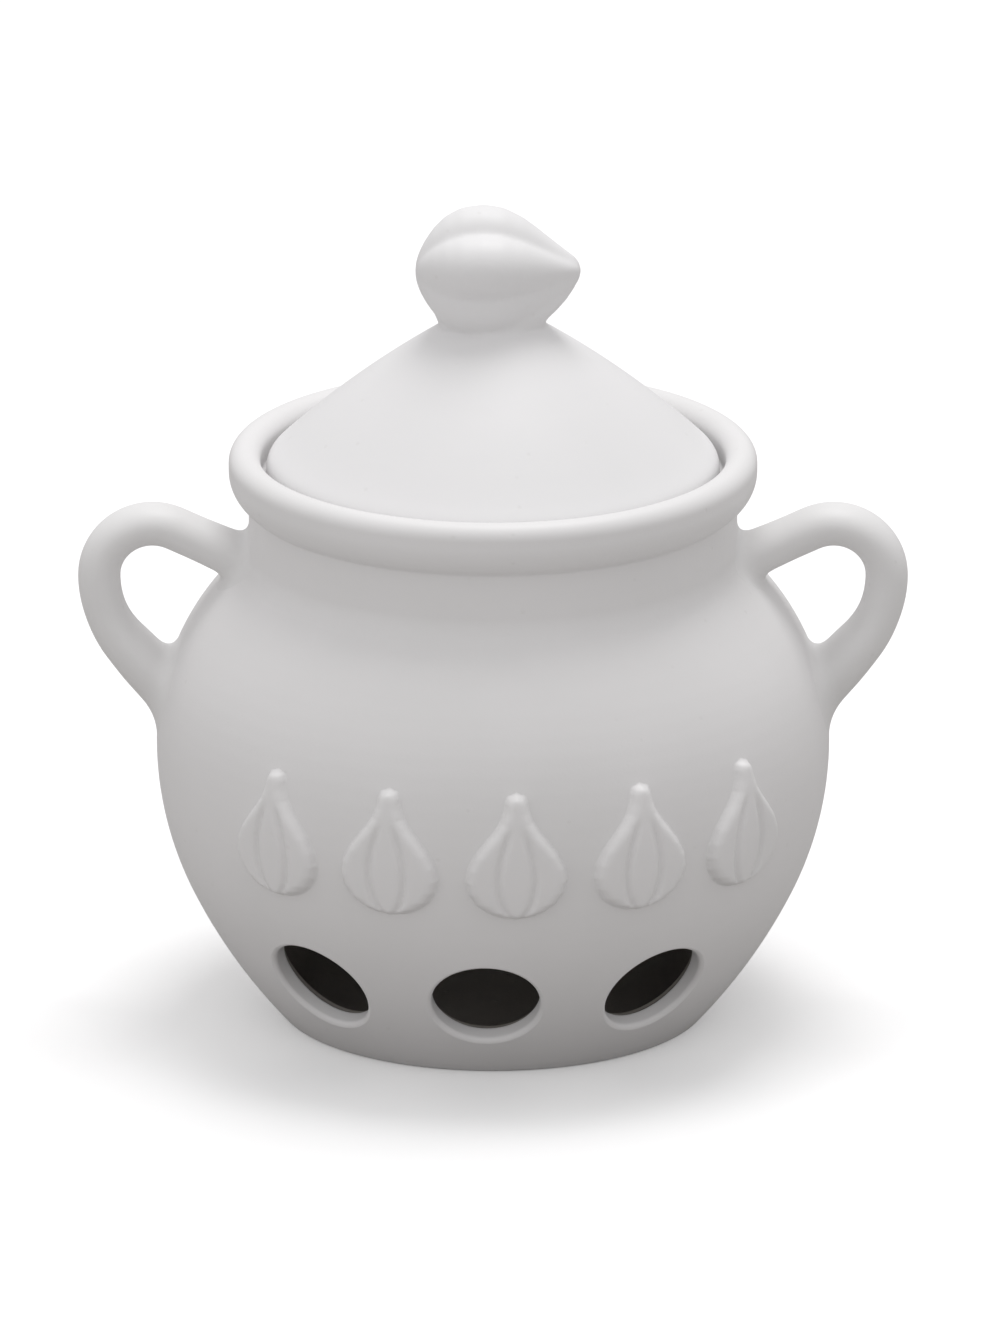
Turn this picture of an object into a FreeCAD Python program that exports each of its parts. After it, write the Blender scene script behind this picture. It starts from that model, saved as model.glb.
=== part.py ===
import FreeCAD, Part
import math
import os
import Sketcher

# Ceramic garlic keeper: a round pot with six air holes and two ear handles, and a domed lid
# whose knob is a head of garlic lying on its side. Millimetres and degrees. The pot stands on
# z = 0 round the Z axis, its front faces -Y and its handles stand out along X.

doc = FreeCAD.newDocument("garlic_keeper")

# Driving sizes
driving = {
    "belly_dia": 125,           # widest diameter of the belly
    "belly_height": 52,         # height of the widest ring above the table
    "flank_start": 26,          # the belly turns this far under before the flank begins
    "flank_radius": 105,        # long arc from there down to the foot
    "foot_dia": 79,             # where that arc would meet the table
    "foot_edge": 1.5,           # round on the outer edge of the foot
    "foot_ring": 5,             # width of the ring that stands on the table
    "foot_recess": 1.2,         # how far the base is lifted inside that ring
    "shoulder_radius": 44.5,    # arc above the widest ring
    "neck_dia": 90.6,           # drawn-in neck under the rim
    "neck_blend": 6,            # hollow round from the shoulder into the neck
    "rim_dia": 98,              # outside of the rolled rim
    "rim_height": 108.85,       # top of the rim above the table
    "rim_under": 6.5,           # round under the overhang of the rim
    "rim_band": 1.5,            # straight band between that round and the top round
    "wall": 4,                  # thickness of the thrown wall
    "floor": 4.5,               # thickness of the base
    "inner_corner": 8,          # round between the wall and the base, inside
    "seat_depth": 5.85,         # ledge for the lid, below the top of the rim
    "throat_depth": 7,          # thickness of that ledge
    "vent_dia": 20,             # air hole
    "vent_drop": 34.3,          # direction of the holes below the level
    "vent_spacing": 37,         # angle between neighbouring holes
    "vent_turn": -1.5,          # the row sits a little to the left of the middle
    "relief_thick": 1.5,        # height of the raised bulbs above the belly
    "relief_tall": 24,          # height of one raised bulb
    "relief_wide": 18.5,        # its width
    "relief_height": 49.5,      # its middle above the table
    "relief_spacing": 22,       # angle between neighbours
    "relief_turn": 4,           # the row sits a little to the right of the middle
    "handle_thick": 7.8,        # handle, measured across the loop's wall
    "handle_wide": 10.5,        # handle, measured front to back
    "handle_root_thick": 11.5,  # the same two where it is luted on
    "handle_root_wide": 13.5,
    "handle_drop": 4.3,         # start of the handle below the hollow of the neck
    "handle_start": 2,          # that start, behind the face of the neck
    "handle_rise": 24.8,        # slope of its first stretch
    "handle_reach": 14.46,      # the loop stands out this far beyond the belly
    "handle_bend": 9.9,         # tight outer bend
    "handle_bend_turn": 115,
    "handle_bow": 20.2,         # easy bend below it
    "handle_bow_turn": 40.5,
    "handle_end": 8,            # end of the handle, behind the widest ring of the belly
    "lid_dia": 84.2,            # outside of the lid
    "lid_gap": 1,               # play between the lid's edge and the rim
    "lid_edge": 1.8,            # upright edge of the lid
    "lid_edge_round": 4,
    "lid_edge_slope": 44,       # slope of the dome at its edge
    "lid_crown_slope": 34,      # slope of the dome where the stub begins
    "dome_radius": 200,         # long arc of the dome
    "stub_flare": 20,           # hollow round from the dome into the stub
    "stub_rise": 6.4,
    "lid_wall": 4,
    "crown_hollow": 10,         # radius of the rounded crown inside the lid
    "ring_dia": 77.4,           # ring under the lid that finds the throat
    "ring_gap": 0.8,            # play between that ring and the throat
    "ring_wall": 3.5,
    "ring_depth": 6,
    "knob_dia": 25.4,           # thickest part of the garlic head
    "knob_crease": 0.9,         # depth of the creases, as a share of the radius
    "knob_tip": 17.9,           # from the thickest part to the tip
    "knob_root": 12.7,          # from the thickest part to the root
    "knob_shift": -1.7,         # thickest part, measured along X from the lid's axis
    "knob_rise": 7,             # middle of the knob above the stub
    "knob_turn": 22,            # first clove, from the front upwards
}

# Sizes worked out from them. A name that ends in _x is a radius and one in _z is a height.
worked = {
    "belly_x": "belly_dia / 2",
    "foot_x": "foot_dia / 2",
    "neck_x": "neck_dia / 2",
    "rim_x": "rim_dia / 2",
    "lid_x": "lid_dia / 2",
    "ring_x": "ring_dia / 2",
    # under the widest ring: an arc that leads smoothly into the flank's, which ends at the foot
    "flank_lean": "1 - cos(flank_start)",
    "flank_inset": "flank_radius + foot_x - belly_x",
    "flank_a": "flank_lean ^ 2 + sin(flank_start) ^ 2",
    "flank_b": "belly_height * sin(flank_start) - flank_inset * flank_lean",
    "flank_c": "flank_inset ^ 2 + belly_height ^ 2 - flank_radius ^ 2",
    "flank_more": "(sqrt(flank_b ^ 2 - flank_a * flank_c) - flank_b) / flank_a",
    "under_radius": "flank_radius - flank_more",
    "under_x": "belly_x - under_radius",
    "flank_x": "under_x - flank_more * cos(flank_start)",
    "flank_z": "belly_height + flank_more * sin(flank_start)",
    "low_x": "under_x + under_radius * cos(flank_start)",
    "low_z": "belly_height - under_radius * sin(flank_start)",
    # outer edge of the foot
    "edge_far": "flank_radius - foot_edge",
    "edge_x": "flank_x + sqrt(edge_far ^ 2 - (foot_edge - flank_z) ^ 2)",
    "edge_end_x": "flank_x + flank_radius / edge_far * (edge_x - flank_x)",
    "edge_end_z": "flank_z + flank_radius / edge_far * (foot_edge - flank_z)",
    "recess_x": "edge_x - foot_ring",
    # shoulder and neck
    "shoulder_x": "belly_x - shoulder_radius",
    "blend_far": "shoulder_radius + neck_blend",
    "blend_x": "neck_x + neck_blend",
    "blend_z": "belly_height + sqrt(blend_far ^ 2 - (blend_x - shoulder_x) ^ 2)",
    "neck_low_x": "shoulder_x + shoulder_radius / blend_far * (blend_x - shoulder_x)",
    "neck_low_z": "belly_height + shoulder_radius / blend_far * (blend_z - belly_height)",
    # lid seat and rim
    "seat_x": "lid_x + lid_gap",
    "seat_z": "rim_height - seat_depth",
    "throat_x": "ring_x + ring_gap",
    "throat_z": "seat_z - throat_depth",
    "rim_round": "(rim_x - seat_x) / 2",
    "rim_side_z": "rim_height - rim_round",
    "rim_low_z": "rim_side_z - rim_band",
    "crease_z": "rim_low_z - sqrt(rim_under ^ 2 - (neck_x - rim_x + rim_under) ^ 2)",
    # inside of the pot, one wall thickness from the outside
    "neck_in_x": "neck_x - wall",
    "throat_low_z": "throat_z - neck_in_x + throat_x",
    "shoulder_in": "shoulder_radius - wall",
    "neck_in": "neck_blend + wall",
    "neck_in_low_x": "shoulder_x + shoulder_in / blend_far * (blend_x - shoulder_x)",
    "neck_in_low_z": "belly_height + shoulder_in / blend_far * (blend_z - belly_height)",
    "belly_in_x": "belly_x - wall",
    "under_in": "under_radius - wall",
    "low_in_x": "under_x + under_in * cos(flank_start)",
    "low_in_z": "belly_height - under_in * sin(flank_start)",
    "flank_in": "flank_radius - wall",
    "floor_z": "foot_recess + floor",
    "corner_far": "flank_in - inner_corner",
    "corner_z": "floor_z + inner_corner",
    "corner_x": "flank_x + sqrt(corner_far ^ 2 - (corner_z - flank_z) ^ 2)",
    "corner_end_x": "flank_x + flank_in / corner_far * (corner_x - flank_x)",
    "corner_end_z": "flank_z + flank_in / corner_far * (corner_z - flank_z)",
    # dome of the lid
    "lid_edge_z": "seat_z + lid_edge",
    "dome_low_x": "lid_x - lid_edge_round * (1 - sin(lid_edge_slope))",
    "dome_low_z": "lid_edge_z + lid_edge_round * cos(lid_edge_slope)",
    "dome_x": "dome_low_x - dome_radius * sin(lid_edge_slope)",
    "dome_z": "dome_low_z - dome_radius * cos(lid_edge_slope)",
    "dome_top_x": "dome_x + dome_radius * sin(lid_crown_slope)",
    "dome_top_z": "dome_z + dome_radius * cos(lid_crown_slope)",
    "flare_x": "dome_top_x + stub_flare * sin(lid_crown_slope)",
    "flare_z": "dome_top_z + stub_flare * cos(lid_crown_slope)",
    "stub_z": "dome_top_z + stub_rise",
    "stub_x": "flare_x - sqrt(stub_flare ^ 2 - (flare_z - stub_z) ^ 2)",
    # inside of the lid
    "dome_in": "dome_radius - lid_wall",
    "ring_in_x": "ring_x - ring_wall",
    "ring_low_z": "seat_z - ring_depth",
    "dome_in_low_z": "dome_z + sqrt(dome_in ^ 2 - (ring_in_x - dome_x) ^ 2)",
    "hollow_z": "dome_z + sqrt(dome_in ^ 2 - (crown_hollow - dome_x) ^ 2)",
    "hollow_mid_z": "dome_z - (hollow_z - dome_z) * dome_x / (crown_hollow - dome_x)",
    "hollow_radius": "sqrt(crown_hollow ^ 2 + (hollow_z - hollow_mid_z) ^ 2)",
    "hollow_top_z": "hollow_mid_z + hollow_radius",
    "knob_z": "stub_z + knob_rise",
    # raised bulbs: a band one relief thick, on the belly, a little taller than the bulbs
    "band_x": "belly_x + relief_thick",
    "band_under": "under_radius + relief_thick",
    "band_over": "shoulder_radius + relief_thick",
    "band_low_z": "relief_height - 0.6 * relief_tall",
    "band_high_z": "relief_height + 0.6 * relief_tall",
    "band_low_x": "under_x + sqrt(under_radius ^ 2 - (belly_height - band_low_z) ^ 2)",
    "band_low_out_x": "under_x + sqrt(band_under ^ 2 - (belly_height - band_low_z) ^ 2)",
    "band_high_x": "shoulder_x + sqrt(shoulder_radius ^ 2 - (band_high_z - belly_height) ^ 2)",
    "band_high_out_x": "shoulder_x + sqrt(band_over ^ 2 - (band_high_z - belly_height) ^ 2)",
    # handle: start, bends and end
    "grip_x": "neck_x - handle_start",
    "grip_z": "blend_z - handle_drop",
    "bend_x": "belly_x + handle_reach - handle_thick / 2 - handle_bend",
    "reach_x": "bend_x - handle_bend * sin(handle_rise)",
    "handle_first": "(reach_x - grip_x) / cos(handle_rise)",
    "reach_z": "grip_z + handle_first * sin(handle_rise)",
    "bend_z": "reach_z - handle_bend * cos(handle_rise)",
    "fall": "handle_rise - handle_bend_turn",
    "turned_x": "bend_x - handle_bend * sin(fall)",
    "turned_z": "bend_z + handle_bend * cos(fall)",
    "bow_x": "turned_x + handle_bow * sin(fall)",
    "bow_z": "turned_z - handle_bow * cos(fall)",
    "tail_fall": "fall - handle_bow_turn",
    "tail_x": "bow_x - handle_bow * sin(tail_fall)",
    "tail_z": "bow_z + handle_bow * cos(tail_fall)",
    "handle_tail": "(belly_x - handle_end - tail_x) / cos(tail_fall)",
    "root_x": "(grip_x + reach_x) / 2",
    "root_z": "(grip_z + reach_z) / 2",
}

sheet = doc.addObject("Spreadsheet::Sheet", "Sizes")
cells = {**driving, **{alias: "=" + formula for alias, formula in worked.items()}}
for row, (alias, content) in enumerate(cells.items(), start=1):
    sheet.set(f"A{row}", alias)
    sheet.set(f"B{row}", str(content))
    sheet.setAlias(f"B{row}", alias)
doc.recompute()


def sized(formula):
    """The same formula with the sheet's name before each alias, as an object's property needs it."""
    words = formula.split()
    return " ".join(
        word[:len(word) - len(word.lstrip("(-"))] + "Sizes." + word.lstrip("(-")
        if word.lstrip("(-").rstrip(")") in cells else word
        for word in words
    )


def value(formula):
    return float(sheet.evalExpression(sized(formula)))


def new_body(label):
    body = doc.addObject("PartDesign::Body", label)
    body.Label = label
    return body


def new_sketch(body, name, plane):
    """A sketch on one of the body's own origin planes."""
    sketch = body.newObject("Sketcher::SketchObject", name)
    origin = next(item for item in body.Origin.OriginFeatures if item.Role == plane)
    sketch.AttachmentSupport = [(origin, "")]
    sketch.MapMode = "FlatFace"
    return sketch


def bind(sketch, constraint, name, formula):
    """Adds a constraint whose size follows the sheet."""
    index = sketch.addConstraint(constraint)
    sketch.renameConstraint(index, name)
    sketch.setExpression(f"Constraints.{name}", sized(formula))


def bent_edge(start, end, radius, side):
    """Arc from start to end, less than half a turn, with its centre on the side named."""
    chord = end - start
    half = chord.Length / 2
    aside = FreeCAD.Vector(-chord.y, chord.x, 0).normalize()
    depth = math.sqrt(max(radius ** 2 - half ** 2, 0))
    centre = (start + end) / 2 + aside * (depth if side == "left" else -depth)
    first, last = (start, end) if side == "left" else (end, start)
    angles = [math.atan2(point.y - centre.y, point.x - centre.x) for point in (first, last)]
    circle = Part.Circle(centre, FreeCAD.Vector(0, 0, 1), radius)
    return Part.ArcOfCircle(circle, angles[0], angles[1])


def draw(sketch, corners, closed=True):
    """An outline. A corner is (x, y), or (x, y, radius, side) where an arc leads on from it."""
    points = [FreeCAD.Vector(value(corner[0]), value(corner[1]), 0) for corner in corners]
    ends = []
    for number, corner in enumerate(corners if closed else corners[:-1]):
        start = points[number]
        end = points[(number + 1) % len(points)]
        if len(corner) == 2:
            edge = sketch.addGeometry(Part.LineSegment(start, end))
            ends.append((edge, 1, 2))
        else:
            edge = sketch.addGeometry(bent_edge(start, end, value(corner[2]), corner[3]))
            ends.append((edge, 1, 2) if corner[3] == "left" else (edge, 2, 1))
    stem = f"p{sketch.ConstraintCount}"
    for number, corner in enumerate(corners):
        before, _, edge_end = ends[number - 1]
        if number < len(ends):
            edge, start, _ = ends[number]
            if closed or number > 0:
                sketch.addConstraint(Sketcher.Constraint("Coincident", before, edge_end, edge, start))
        else:
            edge, start = before, edge_end
        for kind, place, axis in (("DistanceX", points[number].x, -2), ("DistanceY", points[number].y, -1)):
            formula = corner[0] if kind == "DistanceX" else corner[1]
            if formula == "0":
                sketch.addConstraint(Sketcher.Constraint("PointOnObject", edge, start, axis))
            else:
                new = Sketcher.Constraint(kind, -1, 1, edge, start, place)
                bind(sketch, new, f"{stem}_{kind[-1].lower()}{number}", formula)
        if len(corner) > 2:
            new = Sketcher.Constraint("Radius", edge, value(corner[2]))
            bind(sketch, new, f"{stem}_bend{number}", corner[2])


def turn_round(body, name, sketch, kind="PartDesign::Revolution"):
    """The sketch turned once round the Z axis, as a solid or as a cut."""
    turned = body.newObject(kind, name)
    turned.Profile = sketch
    turned.ReferenceAxis = (sketch, ["V_Axis"])
    turned.Angle = 360
    sketch.Visibility = False
    return turned


def volume(body):
    doc.recompute()
    return body.Shape.Volume


# Outside of the pot from the foot up to the neck, which the handles and the raised bulbs follow too
pot_outside = [
    ("edge_x", "0", "foot_edge", "left"),
    ("edge_end_x", "edge_end_z", "flank_radius", "left"),
    ("low_x", "low_z", "under_radius", "left"),
    ("belly_x", "belly_height", "shoulder_radius", "left"),
    ("neck_low_x", "neck_low_z", "neck_blend", "right"),
    ("neck_x", "blend_z"),
    ("neck_x", "crease_z"),
]


# Pot
def make_pot():
    pot = new_body("pot_body")
    profile = new_sketch(pot, "PotProfile", "XZ_Plane")
    base = [
        ("0", "foot_recess"),
        ("recess_x", "foot_recess"),
        ("recess_x + foot_recess", "0"),
    ]
    rim = [
        ("rim_x", "rim_low_z"),
        ("rim_x", "rim_side_z", "rim_round", "left"),
        ("rim_x - rim_round", "rim_height", "rim_round", "left"),
        ("seat_x", "rim_side_z"),
        ("seat_x", "seat_z"),
        ("throat_x", "seat_z"),
        ("throat_x", "throat_z"),
        ("neck_in_x", "throat_low_z"),
    ]
    inside = [
        ("neck_in_x", "blend_z", "neck_in", "left"),
        ("neck_in_low_x", "neck_in_low_z", "shoulder_in", "right"),
        ("belly_in_x", "belly_height", "under_in", "right"),
        ("low_in_x", "low_in_z", "flank_in", "right"),
        ("corner_end_x", "corner_end_z", "inner_corner", "right"),
        ("corner_x", "floor_z"),
        ("0", "floor_z"),
    ]
    crease = ("neck_x", "crease_z", "rim_under", "left")
    draw(profile, base + pot_outside[:-1] + [crease] + rim + inside)
    turn_round(pot, "ThrownPot", profile)
    before = volume(pot)

    # one air hole, square to the belly's sphere, then three in a row, front and back
    hole = new_sketch(pot, "VentCircle", "XZ_Plane")
    hole.setExpression("AttachmentOffset.Base.y", "Sizes.belly_height")
    hole.setExpression("AttachmentOffset.Rotation.Pitch", "Sizes.vent_turn - Sizes.vent_spacing")
    hole.setExpression("AttachmentOffset.Rotation.Roll", "Sizes.vent_drop")
    circle = Part.Circle(FreeCAD.Vector(0, 0, 0), FreeCAD.Vector(0, 0, 1), value("vent_dia") / 2)
    edge = hole.addGeometry(circle)
    hole.addConstraint(Sketcher.Constraint("Coincident", edge, 3, -1, 1))
    bind(hole, Sketcher.Constraint("Diameter", edge, value("vent_dia")), "vent", "vent_dia")
    vent = pot.newObject("PartDesign::Pocket", "Vent")
    vent.Profile = hole
    vent.Reversed = True
    vent.setExpression("Length", "Sizes.belly_dia")
    hole.Visibility = False
    after = volume(pot)
    one_hole = before - after

    # row of three at the front, and the same row at the back
    axis = next(item for item in pot.Origin.OriginFeatures if item.Role == "Z_Axis")
    vents = pot.newObject("PartDesign::MultiTransform", "Vents")
    row = doc.addObject("PartDesign::PolarPattern", "VentRow")
    back = doc.addObject("PartDesign::PolarPattern", "VentRows")
    pot.addObject(row)
    pot.addObject(back)
    vents.Originals = [vent]
    for pattern in (row, back):
        pattern.Axis = (axis, [""])
    row.setExpression("Angle", "2 * Sizes.vent_spacing")
    row.Occurrences = 3
    back.Angle = 360
    back.Occurrences = 2
    vents.Transformations = [row, back]
    pot.Tip = vents
    cut = before - volume(pot)
    print(f"one vent takes {one_hole:.1f} mm3, all vents {cut:.1f} mm3")
    return pot


# Handles
def oval(wide, thick):
    """Oval of four tangent arcs: two easy ones, and two tight ones at its ends."""
    tight = f"0.36 * {thick}"
    across = f"( 0.5 * {wide} - {tight} )"
    easy = f"( {across} ^ 2 + ( 0.5 * {thick} ) ^ 2 - ( {tight} ) ^ 2 ) / ( {thick} - 2 * {tight} )"
    reach = f"( {easy} ) / ( {easy} - {tight} )"
    join_x = f"{reach} * {across}"
    join_y = f"( 0.5 * {thick} - ( {easy} ) ) * ( 1 - {reach} )"
    return [
        (join_x, join_y, easy, "left"),
        (f"-1 * {join_x}", join_y, tight, "left"),
        (f"-1 * {join_x}", f"-1 * {join_y}", easy, "left"),
        (join_x, f"-1 * {join_y}", tight, "left"),
    ]


def handle_ring(handle, name, place, extra):
    """The handle's oval square to its path. extra is its share of the root's greater size."""
    x, z, heading = place
    ring = new_sketch(handle, f"{handle.Label}_{name}", "YZ_Plane")
    ring.setExpression("AttachmentOffset.Base.z", sized(x))
    ring.setExpression("AttachmentOffset.Base.y", sized(z))
    ring.setExpression("AttachmentOffset.Rotation.Roll", sized(f"0 - {heading}"))
    wide = f"( handle_wide + {extra} * ( handle_root_wide - handle_wide ) )"
    thick = f"( handle_thick + {extra} * ( handle_root_thick - handle_thick ) )"
    draw(ring, oval(wide, thick))
    ring.Visibility = False
    return ring


def handle_root(handle, name, start, heading, length, widths):
    """A straight end that widens in steps: each width is (share of the length, extra size)."""
    rings = []
    for number, (share, extra) in enumerate(widths):
        place = (
            f"{start[0]} + {share} * {length} * cos( {heading} )",
            f"{start[1]} + {share} * {length} * sin( {heading} )",
            heading,
        )
        rings.append(handle_ring(handle, f"{name}{number}", place, extra))
    root = handle.newObject("PartDesign::AdditiveLoft", f"{handle.Label}_{name}")
    root.Profile = rings[0]
    root.Sections = rings[1:]
    root.Ruled = True
    return root


def make_handle(label, turn):
    """Pulled ear handle: an oval piped round the loop, spread at both roots, coped to the pot."""
    handle = new_body(label)
    path = new_sketch(handle, f"{label}_path", "XZ_Plane")
    draw(path, [
        ("root_x", "root_z"),
        ("reach_x", "reach_z", "handle_bend", "right"),
        ("turned_x", "turned_z", "handle_bow", "right"),
        ("tail_x", "tail_z"),
    ], closed=False)
    ring = handle_ring(handle, "ring", ("root_x", "root_z", "handle_rise"), 0)
    doc.recompute()
    loop = handle.newObject("PartDesign::AdditivePipe", f"{label}_loop")
    loop.Profile = ring
    loop.Spine = (path, ["Edge1", "Edge2", "Edge3"])
    path.Visibility = False
    doc.recompute()
    upper = ((0, 1), (0.25, 0.45), (0.5, 0))
    handle_root(handle, "upper", ("grip_x", "grip_z"), "handle_rise", "handle_first", upper)
    lower = ((0, 0), (0.25, 0.25), (0.5, 0.7), (1, 1.7))
    handle_root(handle, "lower", ("tail_x", "tail_z"), "tail_fall", "handle_tail", lower)
    before = volume(handle)

    pot_side = new_sketch(handle, f"{label}_cope", "YZ_Plane")
    draw(pot_side, [("0", "0")] + pot_outside + [("0", "crease_z")])
    turn_round(handle, f"{label}_coped", pot_side, "PartDesign::Groove")
    print(f"{label}: loop {before:.0f} mm3, coped {volume(handle):.0f} mm3")
    handle.Placement.Rotation = FreeCAD.Rotation(FreeCAD.Vector(0, 0, 1), turn)
    return handle


# Raised bulbs on the front
def bulb_outline():
    """A garlic bulb from the bottom up and back: width and height as shares, then the bend."""
    corners = [
        (0.2, -0.49, 0.4, "left"),
        (0.5, -0.2, 0.5, "left"),
        (0.26, 0.18, 0.42, "right"),
        (0.09, 0.46, 0.095, "left"),
        (-0.09, 0.46, 0.42, "right"),
        (-0.26, 0.18, 0.5, "left"),
        (-0.5, -0.2, 0.4, "left"),
        (-0.2, -0.49, 0.9, "left"),
    ]
    return [
        (
            f"{across} * relief_wide",
            f"relief_height + {up} * relief_tall",
            f"{bend} * relief_tall", side,
        )
        for across, up, bend, side in corners
    ]


def make_relief(number, count):
    """One raised bulb: a piece of a band on the belly, with all but the outline cut away."""
    relief = new_body(f"raised_bulb_{number + 1}")
    band = new_sketch(relief, f"Band{number}", "XZ_Plane")
    draw(band, [
        ("band_low_x", "band_low_z", "under_radius", "left"),
        ("belly_x", "belly_height", "shoulder_radius", "left"),
        ("band_high_x", "band_high_z"),
        ("band_high_out_x", "band_high_z", "band_over", "right"),
        ("band_x", "belly_height", "band_under", "right"),
        ("band_low_out_x", "band_low_z"),
    ])
    turn_round(relief, f"Strip{number}", band)
    before = volume(relief)
    whole_band = [
        ("-2 * belly_x", "0"),
        ("2 * belly_x", "0"),
        ("2 * belly_x", "rim_height"),
        ("-2 * belly_x", "rim_height"),
    ]
    for name, outline, to_front in (("Front", bulb_outline(), True), ("Rear", None, False)):
        window = new_sketch(relief, f"{name}Window{number}", "XZ_Plane")
        draw(window, whole_band)
        if outline:
            draw(window, outline)
        cut = relief.newObject("PartDesign::Pocket", f"{name}{number}")
        cut.Profile = window
        cut.Reversed = to_front
        cut.setExpression("Length", "2 * Sizes.belly_dia")
        window.Visibility = False
    print(f"raised bulb {number + 1}: band {before:.0f} mm3, trimmed {volume(relief):.1f} mm3")
    turn = value(f"relief_turn + {number - (count - 1) / 2} * relief_spacing")
    relief.Placement.Rotation = FreeCAD.Rotation(FreeCAD.Vector(0, 0, 1), turn)
    return relief


# Lid
def make_lid():
    lid = new_body("lid_dome")
    profile = new_sketch(lid, "LidProfile", "XZ_Plane")
    draw(profile, [
        ("ring_in_x", "ring_low_z"),
        ("ring_x", "ring_low_z"),
        ("ring_x", "seat_z"),
        ("lid_x", "seat_z"),
        ("lid_x", "lid_edge_z", "lid_edge_round", "left"),
        ("dome_low_x", "dome_low_z", "dome_radius", "left"),
        ("dome_top_x", "dome_top_z", "stub_flare", "right"),
        ("stub_x", "stub_z"),
        ("0", "stub_z"),
        ("0", "hollow_top_z", "hollow_radius", "right"),
        ("crown_hollow", "hollow_z", "dome_in", "right"),
        ("ring_in_x", "dome_in_low_z"),
    ])
    turn_round(lid, "ThrownLid", profile)
    print(f"lid {volume(lid):.0f} mm3")
    return lid


# Knob
def knob_section(radius, cloves=5):
    """The cloves round the knob's middle: arcs that meet in as many creases."""
    half = 180 / cloves
    crease = f"knob_crease * {radius}"
    rise = f"( {radius} - {crease} * cos( {half} ) )"
    chord = f"( {crease} * sin( {half} ) )"
    bend = f"( {chord} ^ 2 + {rise} ^ 2 ) / ( 2 * {rise} )"
    corners = []
    for clove in range(cloves):
        angle = f"( 180 - knob_turn - {half + 2 * half * clove} )"
        corners.append((
            f"{crease} * cos( {angle} )",
            f"knob_z + {crease} * sin( {angle} )",
            bend, "right",
        ))
    return corners


def make_knob():
    """Garlic head on its side, lofted from root to tip and coped to the lid's stub."""
    knob = new_body("garlic_knob")
    root = ((0.97, 0.15), (0.84, 0.36), (0.51, 0.8))
    tip = ((0.41, 0.8), (0.65, 0.5), (0.8, 0.31), (0.99, 0.15))
    stations = [(f"knob_shift - {along} * knob_root", share) for along, share in root]
    stations += [("knob_shift", 1)]
    stations += [(f"knob_shift + {along} * knob_tip", share) for along, share in tip]
    rings = []
    for number, (place, share) in enumerate(stations):
        ring = new_sketch(knob, f"KnobRing{number}", "YZ_Plane")
        ring.setExpression("AttachmentOffset.Base.z", sized(place))
        draw(ring, knob_section(f"( {share / 2} * knob_dia )"))
        ring.Visibility = False
        rings.append(ring)
    head = knob.newObject("PartDesign::AdditiveLoft", "GarlicHead")
    head.Profile = rings[0]
    head.Sections = rings[1:]
    head.Ruled = False
    before = volume(knob)
    stub = new_sketch(knob, "StubSide", "YZ_Plane")
    draw(stub, [
        ("0", "dome_top_z"),
        ("dome_top_x", "dome_top_z", "stub_flare", "right"),
        ("stub_x", "stub_z"),
        ("0", "stub_z"),
    ])
    turn_round(knob, "KnobSeat", stub, "PartDesign::Groove")
    print(f"knob {before:.0f} mm3, seated {volume(knob):.0f} mm3")
    return knob


relief_count = 5
nodes = [make_pot(), make_handle("left_handle", 180), make_handle("right_handle", 0)]
nodes += [make_relief(number, relief_count) for number in range(relief_count)]
nodes += [make_lid(), make_knob()]
doc.recompute()

for item in doc.Objects:
    if "Invalid" in item.State or "Error" in item.State:
        raise RuntimeError(f"{item.Name} failed: {item.State}")
for node in nodes:
    if node.Shape.isNull() or not node.Shape.isValid() or len(node.Shape.Solids) != 1:
        raise RuntimeError(f"{node.Label} is not one sound solid")

os.makedirs("parts", exist_ok=True)
for node in nodes:
    node.Shape.exportStep(f"parts/{node.Label}.step")
    box = node.Shape.BoundBox
    print(
        f"{node.Label}: {node.Shape.Volume:.0f} mm3, x {box.XMin:.1f} to {box.XMax:.1f}, "
        f"y {box.YMin:.1f} to {box.YMax:.1f}, z {box.ZMin:.1f} to {box.ZMax:.1f}"
    )
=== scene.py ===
import bpy
import math
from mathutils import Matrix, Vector


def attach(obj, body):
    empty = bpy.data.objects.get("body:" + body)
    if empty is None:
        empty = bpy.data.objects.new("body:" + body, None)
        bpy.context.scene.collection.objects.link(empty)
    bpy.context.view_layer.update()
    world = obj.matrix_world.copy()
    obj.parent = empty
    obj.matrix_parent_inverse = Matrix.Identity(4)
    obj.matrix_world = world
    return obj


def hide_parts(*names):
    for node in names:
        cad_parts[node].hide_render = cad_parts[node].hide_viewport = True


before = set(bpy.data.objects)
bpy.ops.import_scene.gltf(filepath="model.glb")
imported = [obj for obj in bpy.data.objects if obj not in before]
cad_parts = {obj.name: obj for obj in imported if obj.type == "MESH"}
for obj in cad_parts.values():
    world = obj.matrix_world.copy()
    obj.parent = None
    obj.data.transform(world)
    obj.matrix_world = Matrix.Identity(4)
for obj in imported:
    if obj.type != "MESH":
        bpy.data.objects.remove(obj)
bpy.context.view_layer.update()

mm = 0.001  # sizes are in millimetres until they meet this; only floor and lamps are in metres


# Camera, at the photograph's angle
view = {
    "elevation": 18.3,        # degrees above the level
    "distance": 5575.0,
    "lens": 810.0,            # very long lens on a 36 mm high sensor
    "sensor": 36.0,
    "lookAt": 52.04,          # height of the point on the pot's axis that the view hangs on
    "right": 1.30,            # the camera stands this far right of the axis
    "up": 13.2,               # and this far up, square to its own line of sight
    "near": 50.0, "far": 60000.0,  # what it clips at
}


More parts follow.
